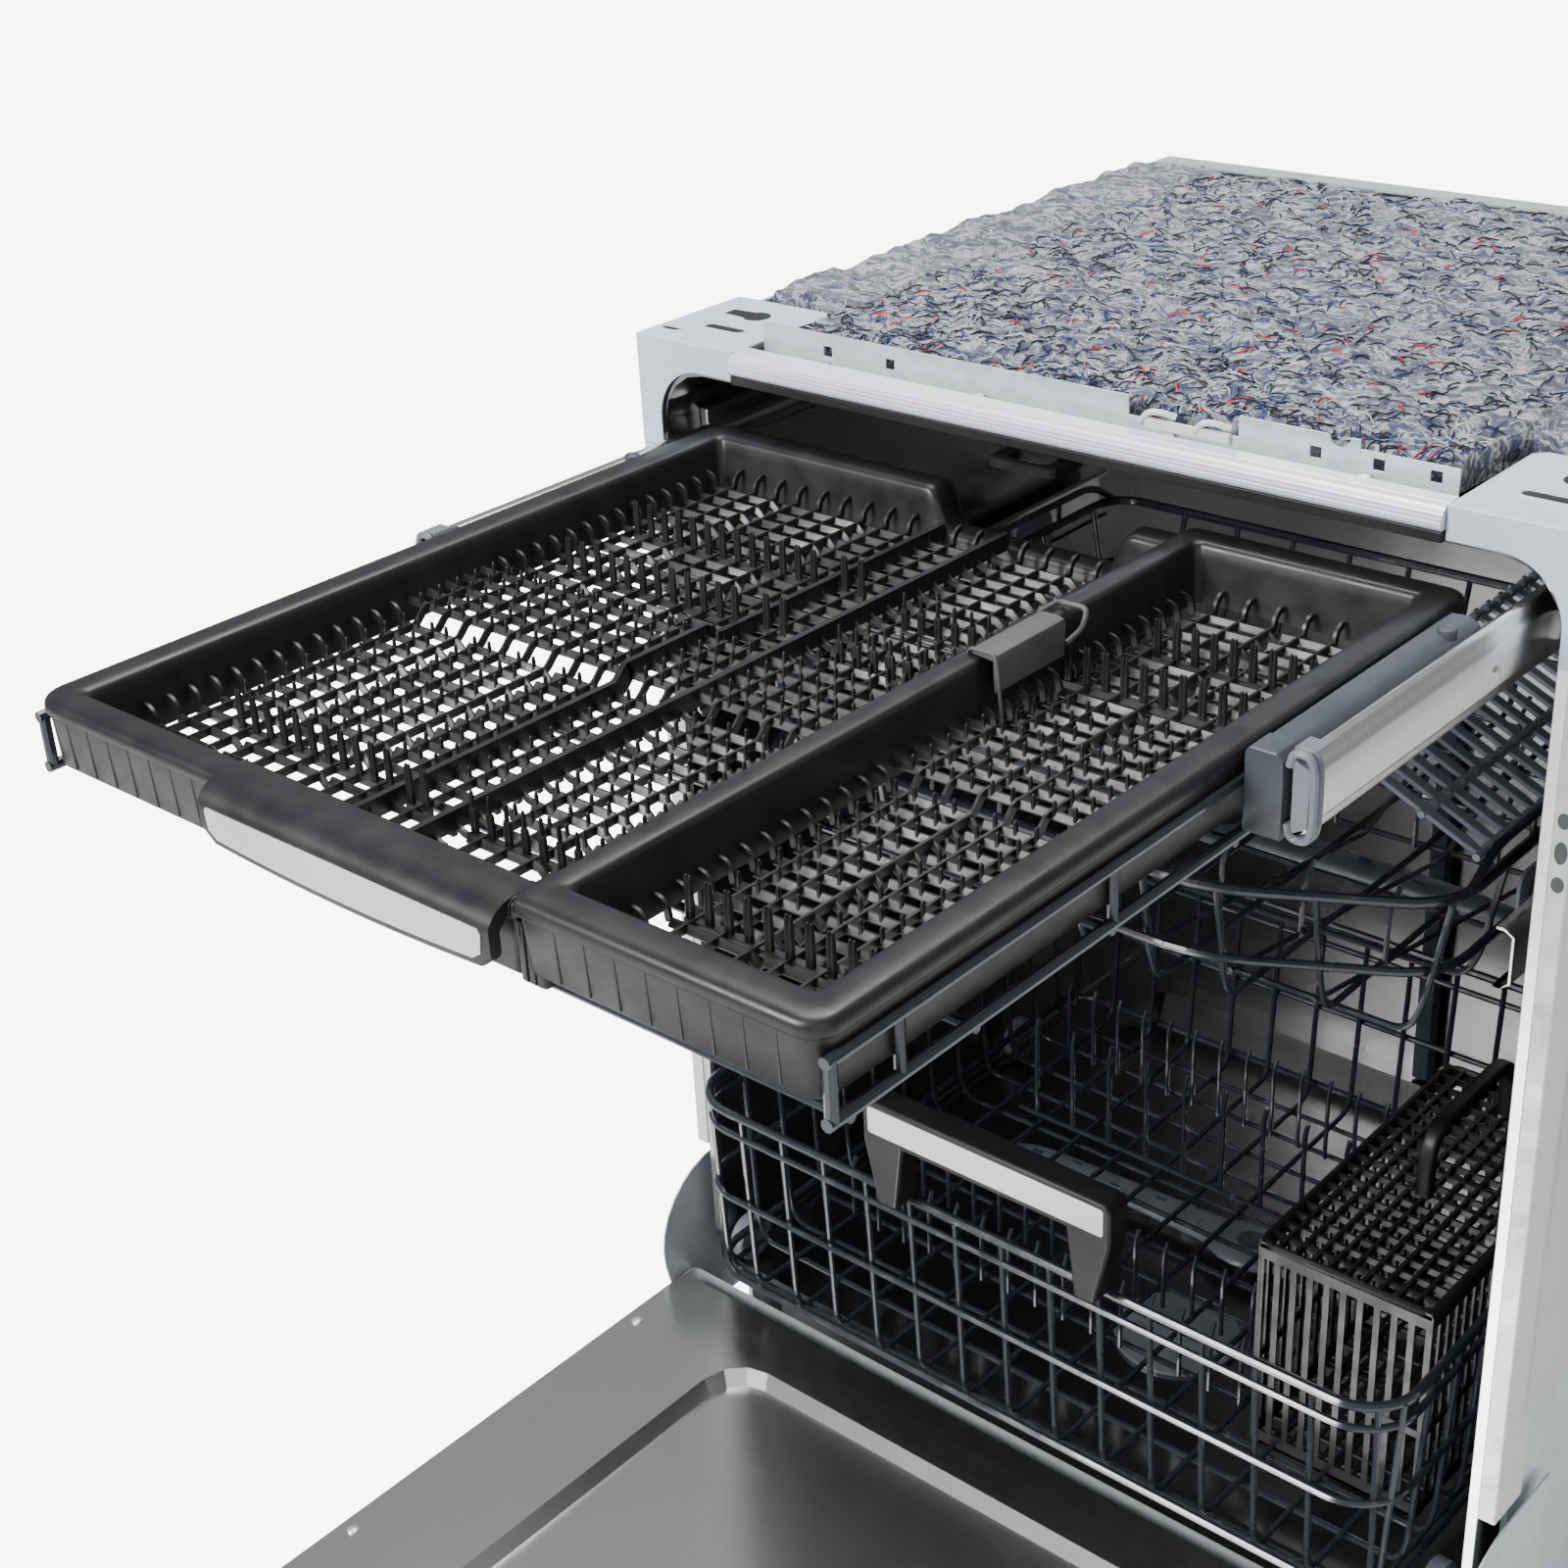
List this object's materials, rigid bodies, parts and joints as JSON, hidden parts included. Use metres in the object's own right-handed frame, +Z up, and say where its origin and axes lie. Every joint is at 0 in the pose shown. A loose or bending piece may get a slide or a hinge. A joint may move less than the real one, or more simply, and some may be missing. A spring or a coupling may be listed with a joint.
{
  "type": "built-in dishwasher",
  "caption": "Built-in dishwasher with its door down: a cutlery drawer on rails, an upper and a lower rack, spray arms, a basket, a detergent dispenser and a stainless tub.",
  "frame": {"origin": "on the floor, under the middle of the part's bounding box with its door down", "axes": "+Z up; -Y is the front, the way the door and the drawer come out; +X is the right-hand side seen from the front"},
  "size_m": [0.598, 1.2591, 0.829],
  "materials": {
    "stainless_steel": "brushed stainless sheet, bright",
    "satin_steel": "satin brushed handle plate",
    "galvanised_steel": "zinc-coated sheet, faint blue-green, satin",
    "blue_grey_paint": "light blue-grey powder paint, satin",
    "silver_trim": "silver extruded trim with fine lines",
    "recycled_felt": "matted recycled fibres, blue and grey with red strands",
    "black_plastic": "fine-grained satin black moulding",
    "dark_grey_plastic": "dark blue-grey moulding, satin",
    "grey_plastic": "mid-grey moulding, satin",
    "coated_wire": "dark nylon-coated steel wire, glossy",
    "pale_plastic": "light grey moulding",
    "white_plastic": "natural white moulding"
  },
  "bodies": {
    "cabinet": {"tub": "stainless_steel", "corner_bracket_left": "blue_grey_paint", "corner_bracket_right": "blue_grey_paint", "side_frame_left": "galvanised_steel", "side_frame_right": "galvanised_steel", "side_panel_left": "galvanised_steel", "side_panel_right": "galvanised_steel", "hinge_bracket_left": "galvanised_steel", "hinge_bracket_right": "galvanised_steel", "drawer_rail_fixed_left": "stainless_steel", "drawer_rail_fixed_right": "stainless_steel", "top_trim_bead": "silver_trim", "top_cross_rail": "galvanised_steel", "insulation_mat": "recycled_felt", "rear_panel": "galvanised_steel", "base_tray": "black_plastic", "foot_front_left": "grey_plastic", "foot_front_right": "grey_plastic", "foot_rear_left": "grey_plastic", "foot_rear_right": "grey_plastic", "sump": "black_plastic", "feed_pipe": "dark_grey_plastic", "latch_striker": "black_plastic", "circulation_pump": "pale_plastic", "drain_pump": "white_plastic"},
    "door": {"door_liner": "stainless_steel", "door_panel": "galvanised_steel", "control_fascia": "black_plastic", "dispenser": "grey_plastic"},
    "power_button": {"power_button": "grey_plastic"},
    "start_button": {"start_button": "grey_plastic"},
    "dispenser_lid": {"dispenser_lid": "grey_plastic"},
    "rinse_aid_cap": {"rinse_aid_cap": "pale_plastic"},
    "drawer": {"main_tray": "black_plastic", "drawer_handle": "black_plastic", "drawer_handle_plate": "satin_steel", "drawer_wire_frame": "coated_wire", "drawer_bracket_left": "dark_grey_plastic", "drawer_bracket_right": "dark_grey_plastic"},
    "right_tray": {"right_tray": "black_plastic", "tray_grip": "black_plastic"},
    "drawer_rails": {"drawer_rail_left": "stainless_steel", "drawer_rail_right": "stainless_steel"},
    "upper_rack": {"upper_rack": "coated_wire"},
    "upper_rails": {"upper_rack_rail_left": "stainless_steel", "upper_rack_rail_right": "stainless_steel"},
    "cup_shelf": {"cup_shelf": "grey_plastic"},
    "upper_spray_arm": {"upper_spray_arm": "grey_plastic"},
    "lower_spray_arm": {"lower_spray_arm": "grey_plastic"},
    "filter": {"filter": "grey_plastic"},
    "lower_rack": {"lower_rack": "coated_wire", "lower_handle": "black_plastic", "lower_handle_plate": "satin_steel", "cutlery_basket": "black_plastic"},
    "lower_tines": {"lower_tines": "coated_wire"},
    "wheel_front_left": {"wheel_front_left": "grey_plastic"},
    "wheel_front_right": {"wheel_front_right": "grey_plastic"},
    "wheel_rear_left": {"wheel_rear_left": "grey_plastic"},
    "wheel_rear_right": {"wheel_rear_right": "grey_plastic"},
    "basket_handle": {"basket_handle": "black_plastic"}
  },
  "joints": [
    {"name": "door_hinge", "type": "hinge", "parent": "cabinet", "child": "door", "pos_m": [0, 0.0596, 0.125], "axis": [-1, 0, 0], "range_deg": [0, 32]},
    {"name": "power_button_press", "type": "slide", "parent": "door", "child": "power_button", "axis": [0, 1, 0], "range_m": [0, 0.0015], "stiffness_N_per_m": 300, "springref_m": -0.0003},
    {"name": "start_button_press", "type": "slide", "parent": "door", "child": "start_button", "axis": [0, 1, 0], "range_m": [0, 0.0015], "stiffness_N_per_m": 300, "springref_m": -0.0003},
    {"name": "dispenser_lid_hinge", "type": "hinge", "parent": "door", "child": "dispenser_lid", "pos_m": [-0.0868, -0.2744, 0.145], "axis": [0, -1, 0], "range_deg": [0, 100]},
    {"name": "rinse_aid_cap_turn", "type": "hinge", "parent": "door", "child": "rinse_aid_cap", "pos_m": [0.06, -0.2744, 0.1435], "axis": [0, 0, 1], "range_deg": [0, 90]},
    {"name": "drawer_slide", "type": "slide", "parent": "cabinet", "child": "drawer", "axis": [0, 1, 0], "range_m": [0, 0.482]},
    {"name": "right_tray_lift", "type": "slide", "parent": "drawer", "child": "right_tray", "axis": [0, 0.5, -0.866], "range_m": [-0.1, 0]},
    {"name": "drawer_rail_slide", "type": "slide", "parent": "cabinet", "child": "drawer_rails", "axis": [0, 1, 0], "range_m": [0, 0.241]},
    {"name": "upper_rack_slide", "type": "slide", "parent": "cabinet", "child": "upper_rack", "axis": [0, 1, 0], "range_m": [-0.4, 0.05]},
    {"name": "upper_rail_slide", "type": "slide", "parent": "cabinet", "child": "upper_rails", "axis": [0, 1, 0], "range_m": [-0.2, 0.025]},
    {"name": "cup_shelf_hinge", "type": "hinge", "parent": "upper_rack", "child": "cup_shelf", "pos_m": [0.233, 0.1246, 0.612], "axis": [0, 1, 0], "range_deg": [-25, 60]},
    {"name": "upper_arm_spin", "type": "hinge", "parent": "upper_rack", "child": "upper_spray_arm", "pos_m": [0, 0.2661, 0.494], "axis": [0, 0, 1], "continuous": true},
    {"name": "lower_arm_spin", "type": "hinge", "parent": "cabinet", "child": "lower_spray_arm", "pos_m": [0, 0.3246, 0.13], "axis": [0, 0, 1], "continuous": true},
    {"name": "filter_turn", "type": "hinge", "parent": "cabinet", "child": "filter", "pos_m": [0, 0.2296, 0.118], "axis": [0, 0, 1], "range_deg": [0, 90]},
    {"name": "lower_rack_slide", "type": "slide", "parent": "cabinet", "child": "lower_rack", "axis": [0, 1, 0], "range_m": [-0.45, 0.07]},
    {"name": "tine_fold", "type": "hinge", "parent": "lower_rack", "child": "lower_tines", "pos_m": [0, 0.3146, 0.1795], "axis": [-1, 0, 0], "range_deg": [0, 85]},
    {"name": "wheel_front_left_roll", "type": "hinge", "parent": "lower_rack", "child": "wheel_front_left", "pos_m": [-0.2645, 0.0896, 0.164], "axis": [1, 0, 0], "continuous": true},
    {"name": "wheel_front_right_roll", "type": "hinge", "parent": "lower_rack", "child": "wheel_front_right", "pos_m": [0.2645, 0.0896, 0.164], "axis": [1, 0, 0], "continuous": true},
    {"name": "wheel_rear_left_roll", "type": "hinge", "parent": "lower_rack", "child": "wheel_rear_left", "pos_m": [-0.2645, 0.4096, 0.164], "axis": [1, 0, 0], "continuous": true},
    {"name": "wheel_rear_right_roll", "type": "hinge", "parent": "lower_rack", "child": "wheel_rear_right", "pos_m": [0.2645, 0.4096, 0.164], "axis": [1, 0, 0], "continuous": true},
    {"name": "basket_handle_fold", "type": "hinge", "parent": "lower_rack", "child": "basket_handle", "pos_m": [0.18, 0.2646, 0.33], "axis": [0, -1, 0], "range_deg": [0, 85]}
  ],
  "couplings": [
    {"joint": "drawer_rail_slide", "follows": "drawer_slide", "ratio": 0.5},
    {"joint": "upper_rail_slide", "follows": "upper_rack_slide", "ratio": 0.5}
  ]
}
